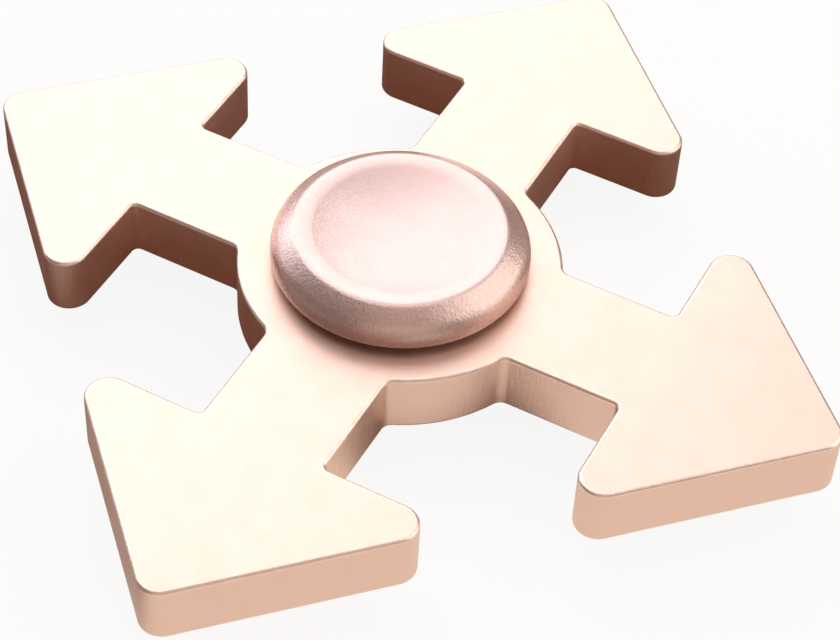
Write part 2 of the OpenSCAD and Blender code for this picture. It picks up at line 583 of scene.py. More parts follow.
@dataclass(frozen=True)
class BlastedAlloy:
    """Bead-blasted, anodised alloy.

    Attributes:
        name: The material's name.
        tint: The anodised colour.
        deep: The same colour where the dye lies deeper.
        bare_and_highlight: The paler colour of a worn rim, also a painted highlight there and a
            painted glint.
        roughness: The blasted face's roughness.
        grain: The size of the blasted grain.
        depth: How far the grain stands up.
        sparkle: How much the grain's facets shine out, as a painted glint and as smoother spots.
        worn: How much of the grain thumbs have smoothed off the level faces.
        rub_and_highlight: How much the rims are worn by handling and painted paler as a highlight.
        metallic: How much of the face is bare metal under a clear skin.
        lines: How far the cutter's lines stand up on the walls.
        band: The upright faces' colour, if they differ: painted shade, as of a shadowed gap.
        band_shade: How much of that painted shade they have.
    """

    name: str
    tint: Colour
    deep: Colour
    bare_and_highlight: Colour
    roughness: float
    grain: float
    depth: float
    sparkle: float
    worn: float
    rub_and_highlight: float
    metallic: float
    lines: float = 0.0
    band: Colour = (0.0, 0.0, 0.0, 1)
    band_shade: float = 0.0

    CLOUD = 14 * MM  # the size of the slow changes
    # a patch is where a rim is worn and painted paler as a highlight
    PATCH = 1.6 * MM  # the size of a rubbed patch
    CUT = 0.16 * MM  # the distance between the cutter's lines
    LEVEL = (0.88, 0.98)  # the normal's height from which a face counts as level
    UPRIGHT = (0.15, 0.75)  # and up to which it counts as upright
    MOTTLE = 0.3  # how much of the deep colour the mottle adds
    SHEEN = (-0.01, 0.02)  # how far the mottle moves the roughness
    KEEN = 0.5  # how much smoother a facet is, for its sparkle
    SMOOTH = 0.05  # how much smoother a rubbed rim is

    def make(self) -> Material:
        """Builds the material."""
        sheet = new_sheet(self.name)
        place = sheet.node("TexCoord").outputs["Object"]
        rim = sheet.node("Attribute", attribute_name=RIM_MASK).outputs["Fac"]
        blast = BeadBlast.use(sheet, Vector=place, Size=self.grain)
        cloud = Clouding.use(sheet, Vector=place, Size=self.CLOUD)
        # wear and painted highlight along the rims, in patches
        rub_and_highlight_mask = RimRubAndHighlight.use(sheet, Vector=place, Rim=rim, Size=self.PATCH)["Mask"]
        lines = CutterLines.use(sheet, Vector=place, Pitch=self.CUT)["Height"]

        upward = sheet.upward()
        crisp = sheet.ramp(upward, *self.LEVEL, 1.0, 1.0 - self.worn)
        facets = sheet.math("MULTIPLY", blast["Facets"], crisp)
        dyed = sheet.mix(cloud["Cloud"], self.tint, self.deep)
        mottled = sheet.mix(sheet.math("MULTIPLY", cloud["Mottle"], self.MOTTLE), dyed, self.deep)
        # painted glint: the grain's facets are mixed towards the paler bare colour
        glint = sheet.mix(sheet.math("MULTIPLY", facets, self.sparkle), mottled, self.bare_and_highlight)
        # painted shade: the upright faces are mixed towards the darker band colour
        band_shaded = sheet.mix(sheet.ramp(upward, *self.UPRIGHT, self.band_shade, 0.0), glint, self.band)
        # wear and painted highlight: the rims are mixed towards the paler bare colour
        colour = sheet.mix(sheet.math("MULTIPLY", rub_and_highlight_mask, self.rub_and_highlight), band_shaded, self.bare_and_highlight)

        low, high = (self.roughness + change for change in self.SHEEN)
        frost = sheet.ramp(cloud["Mottle"], 0.0, 1.0, low, high)
        shine = sheet.math("MULTIPLY", facets, self.KEEN * self.sparkle)
        keen = sheet.math("SUBTRACT", frost, shine)
        polish = sheet.math("MULTIPLY", rub_and_highlight_mask, self.SMOOTH * self.rub_and_highlight)
        rough = sheet.math("SUBTRACT", keen, polish)

        pits = sheet.math("MULTIPLY", blast["Height"], crisp)
        grain = sheet.bump(pits, self.depth)
        tooled = sheet.bump(lines, self.lines, Normal=grain)
        coat(sheet, self.metallic, colour, rough, tooled)
        return bpy.data.materials[self.name]


@dataclass(frozen=True)
class TurnedSteel:
    """Ground or pressed steel with rings round the spin axis.

    Attributes:
        name: The material's name.
        tint: The steel's colour.
        stain: The colour of its faint stains.
        roughness: Its roughness between the lines.
        pitch: The distance between lines.
        depth: How deep the lines are.
    """

    name: str
    tint: Colour
    stain: Colour
    roughness: float
    pitch: float
    depth: float

    CLOUD = 3 * MM  # the size of the stains
    STAINED = 0.3  # how much of the stain's colour they have
    SHEEN = (-0.06, 0.1)  # how far the lines move the roughness

    def make(self) -> Material:
        """Builds the material."""
        sheet = new_sheet(self.name)
        place = sheet.node("TexCoord").outputs["Object"]
        rings = LatheLines.use(sheet, Vector=place, Pitch=self.pitch)["Height"]
        cloud = Clouding.use(sheet, Vector=place, Size=self.CLOUD)
        stained = sheet.math("MULTIPLY", cloud["Mottle"], self.STAINED)
        colour = sheet.mix(stained, self.tint, self.stain)
        low, high = (self.roughness + change for change in self.SHEEN)
        rough = sheet.ramp(rings, 0.3, 0.7, low, high)
        coat(sheet, 1.0, colour, rough, sheet.bump(rings, self.depth))
        return bpy.data.materials[self.name]


class Finish(Enum):
    """The finishes of the spinner, by the record's slot name."""

    BODY = "body_alloy"
    CAP = "cap_alloy"
    RING = "bearing_steel"
    BALL = "ball_steel"
    CAGE = "cage_steel"
    SHIELD = "shield_steel"
    CLIP = "clip_steel"

    def material(self) -> Material:
        """Returns the finish's material, made the first time it is asked for."""
        recipe = RECIPES[self]
        return bpy.data.materials.get(recipe.name) or recipe.make()


RECIPES = {
    Finish.BODY: BlastedAlloy(
        name="blasted_plate",
        tint=(0.915, 0.69, 0.60, 1),
        deep=(0.905, 0.675, 0.585, 1),
        bare_and_highlight=(1.0, 0.86, 0.78, 1),
        roughness=0.41,
        grain=0.14 * MM,
        depth=0.014 * MM,
        sparkle=0.1,
        worn=0.5,
        rub_and_highlight=0.8,
        metallic=0.92,
        lines=0.02 * MM,
    ),
    Finish.CAP: BlastedAlloy(
        name="blasted_cap",
        tint=(0.79, 0.61, 0.585, 1),
        deep=(0.75, 0.565, 0.54, 1),
        bare_and_highlight=(0.90, 0.74, 0.71, 1),
        roughness=0.36,
        grain=0.17 * MM,
        depth=0.02 * MM,
        sparkle=0.32,
        worn=0.55,
        rub_and_highlight=0.08,
        metallic=0.86,
        # painted shade: the cap's upright band is painted darker, for the shadowed gap under the cap
        band=(0.52, 0.37, 0.34, 1),
        band_shade=0.95,
    ),
    Finish.RING: TurnedSteel(
        name="ground_ring",
        tint=(0.62, 0.63, 0.66, 1),
        stain=(0.50, 0.50, 0.52, 1),
        roughness=0.18,
        pitch=0.05 * MM,
        depth=0.002 * MM,
    ),
    Finish.BALL: TurnedSteel(
        name="polished_ball",
        tint=(0.78, 0.79, 0.81, 1),
        stain=(0.66, 0.67, 0.69, 1),
        roughness=0.08,
        pitch=0.3 * MM,
        depth=0.0003 * MM,
    ),
    Finish.CAGE: TurnedSteel(
        name="pressed_cage",
        tint=(0.56, 0.56, 0.57, 1),
        stain=(0.42, 0.41, 0.40, 1),
        roughness=0.34,
        pitch=0.12 * MM,
        depth=0.003 * MM,
    ),
    Finish.SHIELD: TurnedSteel(
        name="pressed_shield",
        tint=(0.60, 0.61, 0.63, 1),
        stain=(0.46, 0.46, 0.47, 1),
        roughness=0.28,
        pitch=0.07 * MM,
        depth=0.003 * MM,
    ),
    Finish.CLIP: TurnedSteel(
        name="sprung_clip",
        tint=(0.42, 0.42, 0.43, 1),
        stain=(0.30, 0.29, 0.28, 1),
        roughness=0.3,
        pitch=0.04 * MM,
        depth=0.002 * MM,
    ),
}


# ---------------------------------------------------------------- handing pieces over


@dataclass(frozen=True)
class Bench:
    """Turns finished meshes into the pieces of the model.

    Attributes:
        height: The height of the plate's middle plane above the floor.
        bodies: Each CAD node's body.
    """

    height: float
    bodies: Mapping[str, str]

    @classmethod
    def from_frame(cls, frame: Mapping[str, object]) -> Bench:
        """Reads the middle plane and the bodies from the loaded frame."""
        low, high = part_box("spinner_body")
        groups = frame["record"]["behaviour"]["bodies"]
        bodies = {node: body for body, nodes in groups.items() for node in nodes}
        return cls(height=(low.z + high.z) / 2, bodies=bodies)

    def hand_over(self, node: str, mesh: BMesh, finish: Finish) -> Object:
        """Makes a piece that stands for one CAD node.

        Args:
            node: The CAD node's name.
            mesh: The finished mesh, about the plate's middle plane.
            finish: Its finish.

        Returns:
            The piece.
        """
        bmesh.ops.translate(mesh, verts=mesh.verts, vec=(0, 0, self.height))
        for edge in mesh.edges:
            edge.smooth = edge.calc_face_angle(0.0) < SHARP_ANGLE
        for face in mesh.faces:
            face.smooth = True
        piece = put(node + "_piece", mesh)
        piece.data.materials.append(finish.material())
        weights = piece.modifiers.new("flat_faces", "WEIGHTED_NORMAL")
        weights.keep_sharp = True
        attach(piece, self.bodies[node])
        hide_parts(node)
        LOG.info("%s: %d faces, %s", piece.name, len(piece.data.polygons), finish.value)
        return piece


def boolean(target: BMesh, tool: BMesh, operation: str) -> BMesh:
    """Joins or cuts one closed mesh with another.

    Args:
        target: The mesh worked on.
        tool: The mesh that is added or taken away.
        operation: UNION, DIFFERENCE or INTERSECT.

    Returns:
        The result. Both given meshes are freed.
    """
    objects = [put("boolean_work", mesh) for mesh in (target, tool)]
    modifier = objects[0].modifiers.new("work", "BOOLEAN")
    modifier.operation = operation
    modifier.solver = "EXACT"
    modifier.object = objects[1]
    graph = bpy.context.evaluated_depsgraph_get()
    result = bmesh.new()
    result.from_object(objects[0], graph)
    bmesh.ops.dissolve_degenerate(result, dist=MERGE, edges=result.edges)
    for work in objects:
        data = work.data
        bpy.data.objects.remove(work)
        bpy.data.meshes.remove(data)
    return result


def turned_over(mesh: BMesh) -> BMesh:
    """Turns a mesh over about the X axis, keeping its shape and its hand."""
    bmesh.ops.rotate(mesh, verts=mesh.verts, matrix=Matrix.Rotation(math.pi, 3, "X"))
    return mesh


# ---------------------------------------------------------------- the arrow plate


@dataclass(frozen=True)
class ArrowPlate:
    """The milled plate: a round hub with arms that end in arrowheads.

    Attributes:
        thickness: The plate's thickness.
        reach: The distance from the axis to an arrow's rounded tip.
        arms: The number of arms.
        hub: The hub's radius.
        arm: Half an arm's width.
        back: The distance from the axis to an arrowhead's flat back.
        tip: The radius of a tip.
        barb: The radius of a barb.
        foot: The radius between arm and hub.
        notch: The radius between arm and arrowhead.
        seat: The radius of the bearing's seat.
        mouth: The chamfer at the seat's two mouths.
        rim: The radius that breaks the outline's edges.
    """

    thickness: float
    reach: float
    arms: int = 4
    hub: float = 12.7 * MM
    arm: float = 5.15 * MM
    back: float = 21.2 * MM
    tip: float = 1.8 * MM
    barb: float = 1.8 * MM
    foot: float = 0.9 * MM
    notch: float = 0.5 * MM
    seat: float = 6.355 * MM
    mouth: float = 0.25 * MM
    rim: float = 0.3 * MM

    @classmethod
    def from_frame(cls) -> ArrowPlate:
        """Takes the plate's thickness and reach from its CAD node."""
        low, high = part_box("spinner_body")
        return cls(thickness=high.z - low.z, reach=high.x)

    def half_arm(self) -> BMesh:
        """Draws the flat face of half an arm, from the X axis to the middle of the gap."""
        mesh = bmesh.new()
        half_gap = math.pi / self.arms
        apex = self.reach + self.tip * (math.sqrt(2) - 1)
        barb = (self.back, apex - self.back)
        notch = (self.back, self.arm)
        foot_y = self.arm + self.foot
        foot_x = math.sqrt((self.hub + self.foot) ** 2 - foot_y**2)
        foot_angle = math.atan2(foot_y, foot_x)
        pen = Pen(mesh, Plane.PLAN, (self.seat, 0.0))
        pen.line((self.reach, 0.0))
        pen.arc((self.reach - self.tip, 0.0), math.pi / 4)
        pen.corner(Corner(barb, self.barb), notch)
        pen.corner(Corner(notch, self.notch), (0.0, self.arm))
        pen.line((foot_x, self.arm))
        pen.arc((foot_x, foot_y), foot_angle - math.pi / 2)
        pen.arc((0.0, 0.0), half_gap - foot_angle)
        pen.line((self.seat * math.cos(half_gap), self.seat * math.sin(half_gap)))
        pen.arc((0.0, 0.0), -half_gap)
        bmesh.ops.remove_doubles(mesh, verts=mesh.verts, dist=MERGE)
        bmesh.ops.edgeloop_fill(mesh, edges=mesh.edges)
        return mesh

    def model(self) -> BMesh:
        """Builds the plate about its middle plane."""
        mesh = self.half_arm()
        bmesh.ops.mirror(mesh, geom=[*mesh.verts, *mesh.edges, *mesh.faces], axis="Y")
        others = self.arms - 1
        swing(mesh, math.tau * others / self.arms, others, use_duplicate=True)
        close_up(mesh)
        made = bmesh.ops.extrude_face_region(mesh, geom=mesh.faces)
        raised = [e for e in made["geom"] if isinstance(e, BMVert)]
        bmesh.ops.translate(mesh, verts=raised, vec=(0, 0, self.thickness))
        bmesh.ops.translate(mesh, verts=mesh.verts, vec=(0, 0, -self.thickness / 2))
        close_up(mesh)
        self.break_edges(mesh)
        return mesh

    def break_edges(self, mesh: BMesh) -> None:
        """Chamfers the seat's mouths and rounds the outline, marking its rims."""
        mask = rim_mask(mesh)

        def corners(inside: float, outside: float) -> list[BMEdge]:
            """Lists the square edges between two radii."""
            return [
                edge
                for edge in mesh.edges
                if not upright(edge)
                and edge.calc_face_angle(0.0) > SQUARE_ANGLE
                and inside < radius_of(edge.verts[0]) < outside
            ]

        round_edges(mesh, corners(0.0, self.seat + self.rim), self.mouth, 1)
        round_edges(mesh, corners(self.hub - self.rim, math.inf), self.rim, 5, mask)

    def build(self, bench: Bench) -> None:
        """Models the plate and hands it over."""
        bench.hand_over("spinner_body", self.model(), Finish.BODY)


# ---------------------------------------------------------------- the bearing


@dataclass(frozen=True)
class Bearing:
    """The shielded miniature ball bearing in the hub.

    Attributes:
        outer: The outer ring's outside radius.
        bore: The inner ring's bore radius.
        width: The width of both rings.
        ball: A ball's radius.
        count: The number of balls.
        play: The play between ball and raceway.
        race_depth: How deep the raceways are below the rings' lands.
        chamfer: The rings' corner radius.
        step: The height at which the outer ring steps out for a shield.
        sheet: The shields' thickness.
        rise: How far a shield's inner band is pressed outwards.
        wire: The radius of a clip's wire.
        gap: The angle of a clip's opening.
        slack: The play of the shields and clips in their seats.
        cage: The cage's lowest and highest height.
        cage_edge: The radius of the cage's corners.
        clear: The space between the cage and the lands.
        pocket: The space between a ball and its pocket.
        notch: The radius of the notches between the cage's prongs.
        steps: The flats round each ring.
    """

    outer: float = 6.35 * MM
    bore: float = 3.175 * MM
    width: float = 4.762 * MM
    ball: float = 1.5875 / 2 * MM
    count: int = 10
    play: float = 0.012 * MM
    race_depth: float = 0.33 * MM
    chamfer: float = 0.2 * MM
    step: float = 1.5 * MM
    sheet: float = 0.2 * MM
    rise: float = 0.12 * MM
    wire: float = 0.15 * MM
    gap: float = math.radians(34)
    slack: float = 0.01 * MM
    cage: tuple[float, float] = (-1.25 * MM, 0.5 * MM)
    cage_edge: float = 0.08 * MM
    clear: float = 0.1 * MM
    pocket: float = 0.08 * MM
    notch: float = 0.34 * MM
    steps: int = 128

    @property
    def pitch(self) -> float:
        """The radius of the circle of ball centres."""
        return (self.outer + self.bore) / 2

    @property
    def groove(self) -> float:
        """The raceways' radius, a little rounder than the balls."""
        return 2 * self.ball * 0.52

    @property
    def shield_seat(self) -> float:
        """The radius of the shields' seat in the outer ring."""
        return self.outer - 0.65 * MM

    @property
    def clip_seat(self) -> float:
        """The radius of the clips' groove in the outer ring."""
        return self.shield_seat + 0.16 * MM

    @property
    def inner_face(self) -> float:
        """The outer radius of the inner ring's two faces."""
        return self.bore + 0.775 * MM

    @property
    def lands(self) -> tuple[float, float]:
        """The radii of the inner and the outer ring's lands."""
        return (
            self.pitch - self.ball + self.race_depth,
            self.pitch + self.ball - self.race_depth,
        )

    def groove_edge(self, land: float, centre: float) -> float:
        """Returns the height at which a raceway meets its land."""
        return math.sqrt(self.groove**2 - (land - centre) ** 2)

    def turn_ring(self, pen: Pen, wall: float) -> BMesh:
        """Turns a drawn ring and rounds the two corners of the wall at a radius."""
        mesh = lathe(pen.mesh, self.steps)
        face = self.width / 2
        soften(mesh, [Corner((wall, height), self.chamfer) for height in (face, -face)])
        return mesh

    def model_outer(self) -> BMesh:
        """Turns the outer ring, with its raceway, shield seats and clip grooves."""
        land = self.lands[1]
        centre = self.pitch + self.ball + self.play - self.groove
        edge = self.groove_edge(land, centre)
        face, seat_top = self.width / 2, self.step + self.sheet
        groove_top = seat_top + 2 * self.wire + 2 * self.slack
        upper = [
            (land, self.step),
            (self.shield_seat, self.step),
            (self.shield_seat, seat_top),
            (self.clip_seat, seat_top),
            (self.clip_seat, groove_top),
            (self.shield_seat, groove_top),
            (self.shield_seat, face),
            (self.outer, face),
        ]
        lower = [(radius, -height) for radius, height in reversed(upper)]
        pen = section_pen((land, edge)).line(*upper, *lower, (land, -edge))
        pen.arc((centre, 0.0), 2 * math.atan2(edge, land - centre))
        return self.turn_ring(pen, self.outer)

    def model_inner(self) -> BMesh:
        """Turns the inner ring, with its raceway and its steps for the shields."""
        land = self.lands[0]
        centre = self.pitch - self.ball - self.play + self.groove
        edge = self.groove_edge(land, centre)
        face, step = self.width / 2, self.step - 0.05 * MM
        lower = [
            (land, -step),
            (self.inner_face, -step),
            (self.inner_face, -face),
            (self.bore, -face),
        ]
        upper = [(radius, -height) for radius, height in reversed(lower)]
        pen = section_pen((land, -edge)).line(*lower, *upper, (land, edge))
        pen.arc((centre, 0.0), 2 * math.atan2(edge, centre - land))
        return self.turn_ring(pen, self.bore)

    def model_shield(self) -> BMesh:
        """Turns the upper shield, a pressed sheet whose inner band stands proud."""
        inner, outer = self.inner_face + 0.1 * MM, self.shield_seat - self.slack
        bend_width = 0.4 * MM
        bend = (inner + outer - bend_width) / 2
        under = [
            Corner((inner, self.step + self.rise)),
            Corner((bend, self.step + self.rise), self.sheet),
            Corner((bend + bend_width, self.step), 2 * self.sheet),
            Corner((outer, self.step)),
        ]
        over = [
            Corner((outer, self.step + self.sheet)),
            Corner((bend + bend_width, self.step + self.sheet), self.sheet),
            Corner((bend, self.step + self.sheet + self.rise), 2 * self.sheet),
            Corner((inner, self.step + self.sheet + self.rise)),
            Corner(under[0].at),
        ]
        return lathe(section_pen(under[0].at).path([*under[1:], *over]).mesh, self.steps)

    def model_clip(self) -> BMesh:
        """Bends the upper clip, a split ring of spring wire with rounded ends."""
        mesh = bmesh.new()
        bmesh.ops.create_circle(mesh, segments=20, radius=self.wire)
        bmesh.ops.rotate(mesh, verts=mesh.verts, matrix=Matrix.Rotation(math.pi / 2, 3, "X"))
        radius = self.clip_seat - self.wire - self.slack
        height = self.step + self.sheet + self.wire + self.slack
        bmesh.ops.translate(mesh, verts=mesh.verts, vec=(radius, 0, height))
        opened = Matrix.Rotation(self.gap / 2, 3, "Z")
        bmesh.ops.rotate(mesh, verts=mesh.verts, matrix=opened)
        swing(mesh, math.tau - self.gap, self.steps, use_duplicate=False)
        ends = [edge for edge in mesh.edges if edge.is_boundary]
        bmesh.ops.holes_fill(mesh, edges=ends, sides=0)
        round_edges(mesh, ends, self.wire * 0.6, 4)
        return close_up(mesh)

    def round_the_ring(self, mesh: BMesh) -> BMesh:
        """Repeats what a mesh holds at every ball's place."""
        others = self.count - 1
        swing(mesh, math.tau * others / self.count, others, use_duplicate=True)
        return mesh

    def model_cage(self) -> BMesh:
        """Cuts ball pockets and the slots between the prongs out of a turned ring."""
        low, high = self.cage
        inner, outer = self.lands[0] + self.clear, self.lands[1] - self.clear
        loop = [(outer, low), (outer, high), (inner, high), (inner, low)]
        blank = lathe(section_pen((inner, low)).line(*loop).mesh, self.steps)
        soften(blank, [Corner(at, self.cage_edge) for at in loop], segments=2)
        tool = bmesh.new()
        place = Matrix.Translation((self.pitch, 0, 0))
        hollow = self.ball + self.pocket
        bmesh.ops.create_uvsphere(tool, u_segments=40, v_segments=24, radius=hollow, matrix=place)
        between = Matrix.Rotation(math.pi / self.count, 4, "Z")
        lying = Matrix.Rotation(math.pi / 2, 4, "Y")
        bmesh.ops.create_cone(
            tool,
            cap_ends=True,
            segments=32,
            radius1=self.notch,
            radius2=self.notch,
            depth=2 * MM,
            matrix=between @ Matrix.Translation((self.pitch, 0, high)) @ lying,
        )
        return boolean(blank, self.round_the_ring(tool), "DIFFERENCE")

    def model_ball(self, number: int) -> BMesh:
        """Makes one ball in its place round the ring."""
        mesh = bmesh.new()
        turn = Matrix.Rotation(math.tau * number / self.count, 4, "Z")
        place = turn @ Matrix.Translation((self.pitch, 0, 0))
        bmesh.ops.create_icosphere(mesh, subdivisions=4, radius=self.ball, matrix=place)
        return mesh

    def build(self, bench: Bench) -> None:
        """Models the bearing's pieces and hands them over."""
        bench.hand_over("bearing_outer_ring", self.model_outer(), Finish.RING)
        bench.hand_over("bearing_inner_ring", self.model_inner(), Finish.RING)
        bench.hand_over("bearing_cage", self.model_cage(), Finish.CAGE)
        for number in range(self.count):
            bench.hand_over(f"bearing_ball_{number + 1:02d}", self.model_ball(number), Finish.BALL)
        bench.hand_over("shield_top", self.model_shield(), Finish.SHIELD)
        bench.hand_over("shield_bottom", turned_over(self.model_shield()), Finish.SHIELD)
        bench.hand_over("shield_clip_top", self.model_clip(), Finish.CLIP)
        bench.hand_over("shield_clip_bottom", turned_over(self.model_clip()), Finish.CLIP)


# ---------------------------------------------------------------- the finger caps


@dataclass(frozen=True)
class Thread:
    """A right-hand screw thread about the Z axis.

    Attributes:
        crest: The thread's outer radius.
        pitch: The rise in one turn.
        share: The thread's depth as a share of its pitch.
        steps: The flats in one turn.
    """

    crest: float = 1.99 * MM
    pitch: float = 0.7 * MM
    share: float = 0.613
    steps: int = 48

    @property
    def root(self) -> float:
        """The radius at the bottom of the thread."""
        return self.crest - self.share * self.pitch

    def rod(self, low: float, high: float, play: float = 0.0) -> BMesh:
        """Sweeps a threaded rod.

        Args:
            low: The height of its lower end.
            high: The height of its upper end.
            play: How much every surface stands out, for a rod that cuts a nut.

        Returns:
            A closed mesh.
        """
        crest, root = self.crest + play, self.root + play
        turns = math.ceil((high - low) / self.pitch) + 2
        flat, rise = self.pitch / 8, self.pitch * 5 / 16
        base = math.floor(low / self.pitch - 1) * self.pitch
        pen = section_pen((root, base))
        pen.line((root, base + 2 * flat), (crest, base + 2 * flat + rise))
        pen.line((crest, base + 3 * flat + rise), (root, base + self.pitch))
        mesh = pen.mesh
        climb = (0, 0, self.pitch / self.steps)
        swing(mesh, math.tau * turns, self.steps * turns, dvec=climb, use_duplicate=False)
        bmesh.ops.remove_doubles(mesh, verts=mesh.verts, dist=MERGE)
        for height, up in ((low, -1), (high, 1)):
            bmesh.ops.bisect_plane(
                mesh,
                geom=[*mesh.verts, *mesh.edges, *mesh.faces],
                dist=MERGE,
                plane_co=(0, 0, height),
                plane_no=(0, 0, up),
                clear_outer=True,
            )
        ends = [edge for edge in mesh.edges if edge.is_boundary]
        bmesh.ops.holes_fill(mesh, edges=ends, sides=0)
        return close_up(mesh)


@dataclass(frozen=True)
class FingerCaps:
    """The two dished caps, screwed together through the bearing's bore.

    Heights are distances from the plate's middle plane.

    Attributes:
        radius: A cap's largest radius.
        top: The height of a cap's rim.
        under: The height of a cap's underside.
        face: The height of the bearing's faces, which the bosses clamp.
        band: The height of the upright band under the bevel.
        rounding: The radii under the band, over it, outside the rim and inside it.
        fillet: The radius between the boss and the underside.
        rim: The rim's outer radius.
        dish: The dish's radius.
        depth: The dish's depth.
        boss: The boss's radius.
        stem: The stem's radius.
        stem_gap: The space between the stem's end and the other cap.
        stem_edge: The chamfer at the stem's end.
        thread: The thread that joins the caps.
        engaged: The length of the threaded post.
        spare: How far the tapped hole goes on past the post, and the post into its cap.
        ream: How much wider the hole is than the thread's root.
        sink: The hole's countersink.
        cone: The height of the cone at the hole's bottom.
        tap_play: The play of the tapped thread.
        steps: The flats round each cap.
    """

    radius: float
    top: float
    under: float = 3.2 * MM
    face: float = 2.381 * MM
    band: float = 1.6 * MM
    rounding: tuple[float, ...] = (0.3 * MM, 0.85 * MM, 0.25 * MM, 0.6 * MM)
    fillet: float = 0.3 * MM
    rim: float = 8.25 * MM
    dish: float = 7.4 * MM
    depth: float = 1.1 * MM
    boss: float = 3.85 * MM
    stem: float = 3.155 * MM
    stem_gap: float = 0.28 * MM
    stem_edge: float = 0.15 * MM
    thread: Thread = field(default_factory=Thread)
    engaged: float = 3.4 * MM
    spare: float = 0.3 * MM
    ream: float = 0.05 * MM
    sink: float = 0.35 * MM
    cone: float = 0.2 * MM
    tap_play: float = 0.03 * MM
    steps: int = 180

    @classmethod
    def from_frame(cls, bench: Bench) -> FingerCaps:
        """Takes the caps' radius and height from the upper cap's CAD node."""
        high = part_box("finger_cap_top")[1]
        return cls(radius=high.x, top=high.z - bench.height)

    def button(self, pen: Pen, side: int) -> BMesh:
        """Draws a cap's section from the boss's edge to the dish's middle and turns it.

        Args:
            pen: A pen whose last point is on the boss's face.
            side: 1 for the upper cap, -1 for the lower.

        Returns:
            The turned cap.
        """
        sphere = (self.dish**2 + self.depth**2) / (2 * self.depth)
        outline = [
            (self.boss, self.face),
            (self.boss, self.under),
            (self.radius, self.under),
            (self.radius, self.under + self.band),
            (self.rim, self.top),
            (self.dish, self.top),
        ]
        pen.line(*[(radius, side * height) for radius, height in outline])
        centre = side * (self.top - self.depth + sphere)
        pen.arc((0.0, centre), -side * math.asin(self.dish / sphere))
        mesh = lathe(pen.mesh, self.steps)
        rings = [Corner((r, side * h), e) for (r, h), e in zip(outline[2:], self.rounding)]
        soften(mesh, [*rings, Corner((self.boss, side * self.under), self.fillet)])
        return mesh

    def model_top(self) -> BMesh:
        """Builds the upper cap with its threaded post."""
        cap = self.button(section_pen((0.0, self.face)), side=1)
        tip, inside = self.face - self.engaged, self.face + self.spare
        post = self.thread.rod(tip - 0.2 * MM, inside)
        lead = self.thread.crest - self.thread.root
        blank = section_pen((0.0, tip))
        blank.line((self.thread.root, tip), (self.thread.crest + lead, tip + 2 * lead))
        blank.line((self.thread.crest + lead, inside), (0.0, inside))
        post = boolean(post, lathe(blank.mesh, 64), "INTERSECT")
        return boolean(cap, post, "UNION")

    def model_bottom(self) -> BMesh:
        """Builds the lower cap with its tapped stem."""
        end, bottom = self.face - self.stem_gap, self.face - self.engaged - self.spare
        hole = self.thread.root + self.ream
        pen = section_pen((0.0, bottom))
        pen.line((hole, bottom + self.cone), (hole, end - self.sink), (hole + self.sink, end))
        pen.line((self.stem - self.stem_edge, end), (self.stem, end - self.stem_edge))
        pen.line((self.stem, -self.face))
        cap = self.button(pen, side=-1)
        tap = self.thread.rod(bottom + 0.4 * MM, end + self.spare, self.tap_play)
        return boolean(cap, tap, "DIFFERENCE")

    def build(self, bench: Bench) -> None:
        """Models both caps and hands them over."""
        bench.hand_over("finger_cap_top", self.model_top(), Finish.CAP)
        bench.hand_over("finger_cap_bottom", self.model_bottom(), Finish.CAP)


# ---------------------------------------------------------------- the studio


def direction(azimuth: float, elevation: float) -> Vector:
    """Returns the direction from the object to a viewer.

    Args:
        azimuth: Degrees round the Z axis; a viewer at 0 looks along +Y.
        elevation: Degrees above the floor.

    Returns:
        A unit vector.
    """
    a, e = math.radians(azimuth), math.radians(elevation)
    return Vector((math.sin(a) * math.cos(e), -math.cos(a) * math.cos(e), math.sin(e)))


@dataclass(frozen=True)
class Viewpoint:
    """Where the camera stands.

    Attributes:
        aim: The point on the picture's centre line.
        azimuth: Degrees round the object.
        elevation: Degrees above the floor.
        distance: The distance from the aim.
        roll: How far the camera leans anticlockwise, in degrees.
        lens: The focal length on a 36 mm wide picture, in millimetres.
    """

    aim: Vector
    azimuth: float = 25.49
    elevation: float = 47.07
    distance: float = 183.0 * MM
    roll: float = 3.37
    lens: float = 103.17

    def place(self) -> Object:
        """Makes the camera and sets it as the scene's."""
        lens = bpy.data.cameras.new("camera")
        lens.lens, lens.sensor_width = self.lens, 36.0
        lens.clip_start, lens.clip_end = 10 * MM, 10.0
        camera = bpy.data.objects.new("camera", lens)
        back = direction(self.azimuth, self.elevation)
        camera.rotation_mode = "QUATERNION"
        level = (-back).to_track_quat("-Z", "Y")
        lean = Quaternion((0, 0, 1), math.radians(self.roll))
        camera.rotation_quaternion = level @ lean
        camera.location = self.aim + back * self.distance
        bpy.context.scene.collection.objects.link(camera)
        bpy.context.scene.camera = camera
        return camera


@dataclass(frozen=True)
class SoftBox:
    """One soft rectangular light.

    Attributes:
        name: The light's name.
        azimuth: Degrees round the object, as for a viewer.
        elevation: Degrees above the floor.
        distance: The distance from the object.
        width: The light's width.
        height: The light's height.
        radiance: How bright its face is.
        colour: Its colour.
    """

    name: str
    azimuth: float
    elevation: float
    distance: float
    width: float
    height: float
    radiance: float
    colour: tuple[float, float, float] = (1.0, 1.0, 1.0)

    def hang(self, aim: Vector) -> None:
        """Makes the light, turned to face a point."""
        lamp = bpy.data.lights.new(self.name, "AREA")
        lamp.shape = "RECTANGLE"
        lamp.size, lamp.size_y = self.width, self.height
        lamp.energy = self.radiance * math.pi * self.width * self.height
        lamp.color = self.colour
        light = bpy.data.objects.new(self.name, lamp)
        back = direction(self.azimuth, self.elevation)
        light.location = aim + back * self.distance
        light.rotation_mode = "QUATERNION"
        light.rotation_quaternion = (-back).to_track_quat("-Z", "Y")
        light.visible_camera = False
        bpy.context.scene.collection.objects.link(light)


